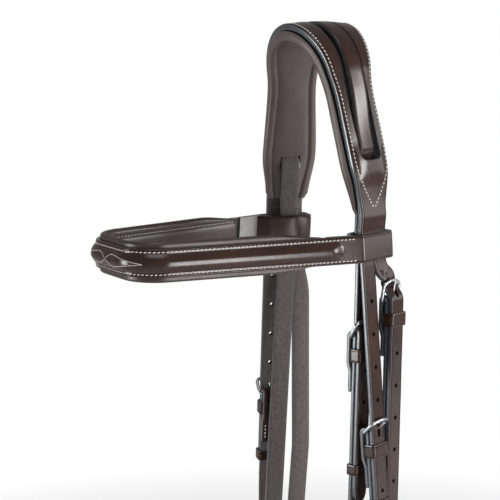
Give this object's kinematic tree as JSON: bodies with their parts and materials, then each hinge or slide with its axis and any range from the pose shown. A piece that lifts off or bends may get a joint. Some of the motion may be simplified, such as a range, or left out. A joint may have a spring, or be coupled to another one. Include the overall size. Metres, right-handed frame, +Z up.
{
  "type": "hunter bridle",
  "caption": "Hunter bridle in dark brown leather: padded crown, raised fancy-stitched browband and noseband, buckled cheekpieces and throatlatch.",
  "frame": {"origin": "middle of the crown lining's underside, where the bridle rests on the horse's poll", "axes": "+Z up, -Y towards the horse's nose (browband side), +X towards the horse's near (left) side"},
  "size_m": [0.1444, 0.2982, 0.492],
  "materials": {
    "brown_leather": "glossy dark havana-brown bridle leather, bevelled and stitched edges",
    "lining_leather": "soft satin lining leather",
    "foam": "matt closed-cell foam",
    "stainless_steel": "polished stainless steel"
  },
  "bodies": {
    "crown": {"headpiece": "brown_leather", "crown_lining": "lining_leather", "crown_foam": "foam", "noseband_headstall": "brown_leather"},
    "browband": {"browband_strap": "brown_leather", "browband_padding": "lining_leather", "browband_raised_strip": "brown_leather"},
    "throatlatch": {"near_throat_billet": "brown_leather", "throatlatch_strap": "brown_leather", "throat_keeper": "brown_leather"},
    "noseband": {"near_noseband_billet": "brown_leather", "near_noseband_strap": "brown_leather", "noseband_keeper": "brown_leather", "far_noseband_strap": "brown_leather", "nosepiece_band": "brown_leather", "nosepiece_padding": "lining_leather", "nosepiece_raised_strip": "brown_leather", "chin_strap": "brown_leather", "chin_keeper": "brown_leather"},
    "near_cheekpiece": {"near_cheek_billet": "brown_leather", "near_cheek_strap": "brown_leather", "near_cheek_keeper": "brown_leather", "near_bit_keeper": "brown_leather", "near_hook_stud": "stainless_steel"},
    "far_cheekpiece": {"far_cheek_billet": "brown_leather", "far_cheek_strap": "brown_leather", "far_cheek_keeper": "brown_leather", "far_bit_keeper": "brown_leather", "far_hook_stud": "stainless_steel"},
    "near_cheek_buckle_frame": {"near_cheek_buckle": "stainless_steel"},
    "near_cheek_tongue_pin": {"near_cheek_buckle_tongue": "stainless_steel"},
    "near_cheek_runner_loop": {"near_cheek_runner": "brown_leather"},
    "far_cheek_buckle_frame": {"far_cheek_buckle": "stainless_steel"},
    "far_cheek_tongue_pin": {"far_cheek_buckle_tongue": "stainless_steel"},
    "far_cheek_runner_loop": {"far_cheek_runner": "brown_leather"},
    "throat_buckle_frame": {"throat_buckle": "stainless_steel"},
    "throat_tongue_pin": {"throat_buckle_tongue": "stainless_steel"},
    "throat_runner_loop": {"throat_runner": "brown_leather"},
    "noseband_buckle_frame": {"noseband_buckle": "stainless_steel"},
    "noseband_tongue_pin": {"noseband_buckle_tongue": "stainless_steel"},
    "noseband_runner_loop": {"noseband_runner": "brown_leather"},
    "chin_buckle_frame": {"chin_buckle": "stainless_steel"},
    "chin_tongue_pin": {"chin_buckle_tongue": "stainless_steel"},
    "chin_runner_loop": {"chin_runner": "brown_leather"}
  },
  "joints": [
    {"name": "browband_slide", "type": "slide", "parent": "crown", "child": "browband", "axis": [0, 0, 1], "range_m": [-0.002, 0.005]},
    {"name": "near_cheek_swing", "type": "hinge", "parent": "crown", "child": "near_cheekpiece", "pos_m": [0.05411, 0.00284, -0.14141], "axis": [0.2768, -0.9609, 0.0004], "range_deg": [0, 15]},
    {"name": "far_cheek_swing", "type": "hinge", "parent": "crown", "child": "far_cheekpiece", "pos_m": [-0.05411, 0.00284, -0.14141], "axis": [0.2768, 0.9609, -0.0004], "range_deg": [0, 15]},
    {"name": "throatlatch_swing", "type": "hinge", "parent": "crown", "child": "throatlatch", "pos_m": [0, 0.01518, -0.14599], "axis": [1, 0, 0], "range_deg": [0, 10]},
    {"name": "noseband_swing", "type": "hinge", "parent": "crown", "child": "noseband", "pos_m": [0, 0.00413, -0.14202], "axis": [-1, 0, 0], "range_deg": [0, 10]},
    {"name": "near_cheek_buckle_turn", "type": "hinge", "parent": "near_cheekpiece", "child": "near_cheek_buckle_frame", "pos_m": [0.05745, 0.00377, -0.25005], "axis": [-0.2768, 0.9609, -0.0004], "range_deg": [0, 5]},
    {"name": "near_cheek_tongue_turn", "type": "hinge", "parent": "near_cheek_buckle_frame", "child": "near_cheek_tongue_pin", "pos_m": [0.05745, 0.00377, -0.25005], "axis": [-0.2768, 0.9609, -0.0004], "range_deg": [0, 5]},
    {"name": "near_cheek_runner_slide", "type": "slide", "parent": "near_cheekpiece", "child": "near_cheek_runner_loop", "axis": [-0.0886, -0.0252, 0.9957], "range_m": [-0.008, 0.007]},
    {"name": "far_cheek_buckle_turn", "type": "hinge", "parent": "far_cheekpiece", "child": "far_cheek_buckle_frame", "pos_m": [-0.05745, 0.00377, -0.25005], "axis": [-0.2768, -0.9609, 0.0004], "range_deg": [0, 5]},
    {"name": "far_cheek_tongue_turn", "type": "hinge", "parent": "far_cheek_buckle_frame", "child": "far_cheek_tongue_pin", "pos_m": [-0.05745, 0.00377, -0.25005], "axis": [-0.2768, -0.9609, 0.0004], "range_deg": [0, 5]},
    {"name": "far_cheek_runner_slide", "type": "slide", "parent": "far_cheekpiece", "child": "far_cheek_runner_loop", "axis": [0.0886, -0.0252, 0.9957], "range_m": [-0.008, 0.007]},
    {"name": "throat_buckle_turn", "type": "hinge", "parent": "throatlatch", "child": "throat_buckle_frame", "pos_m": [0.05157, 0.02275, -0.16667], "axis": [-0.2744, 0.9613, -0.0264], "range_deg": [0, 5]},
    {"name": "throat_tongue_turn", "type": "hinge", "parent": "throat_buckle_frame", "child": "throat_tongue_pin", "pos_m": [0.05157, 0.02275, -0.16667], "axis": [-0.2744, 0.9613, -0.0264], "range_deg": [0, 5]},
    {"name": "throat_runner_slide", "type": "slide", "parent": "throatlatch", "child": "throat_runner_loop", "axis": [-0.0121, 0.024, 0.9996], "range_m": [-0.008, 0.02]},
    {"name": "noseband_buckle_turn", "type": "hinge", "parent": "noseband", "child": "noseband_buckle_frame", "pos_m": [0.04481, 0.00225, -0.18899], "axis": [-0.2749, 0.9613, -0.0213], "range_deg": [0, 5]},
    {"name": "noseband_tongue_turn", "type": "hinge", "parent": "noseband_buckle_frame", "child": "noseband_tongue_pin", "pos_m": [0.04481, 0.00225, -0.18899], "axis": [-0.2749, 0.9613, -0.0213], "range_deg": [0, 5]},
    {"name": "noseband_runner_slide", "type": "slide", "parent": "noseband", "child": "noseband_runner_loop", "axis": [0.001, 0.0225, 0.9997], "range_m": [-0.008, 0.02]},
    {"name": "chin_buckle_turn", "type": "hinge", "parent": "noseband", "child": "chin_buckle_frame", "pos_m": [0.0481, 0.09, -0.388], "axis": [0, 0, -1], "range_deg": [0, 5]},
    {"name": "chin_tongue_turn", "type": "hinge", "parent": "chin_buckle_frame", "child": "chin_tongue_pin", "pos_m": [0.0481, 0.09, -0.388], "axis": [0, 0, -1], "range_deg": [0, 5]},
    {"name": "chin_runner_slide", "type": "slide", "parent": "noseband", "child": "chin_runner_loop", "axis": [0, 1, 0], "range_m": [-0.008, 0.007]}
  ]
}
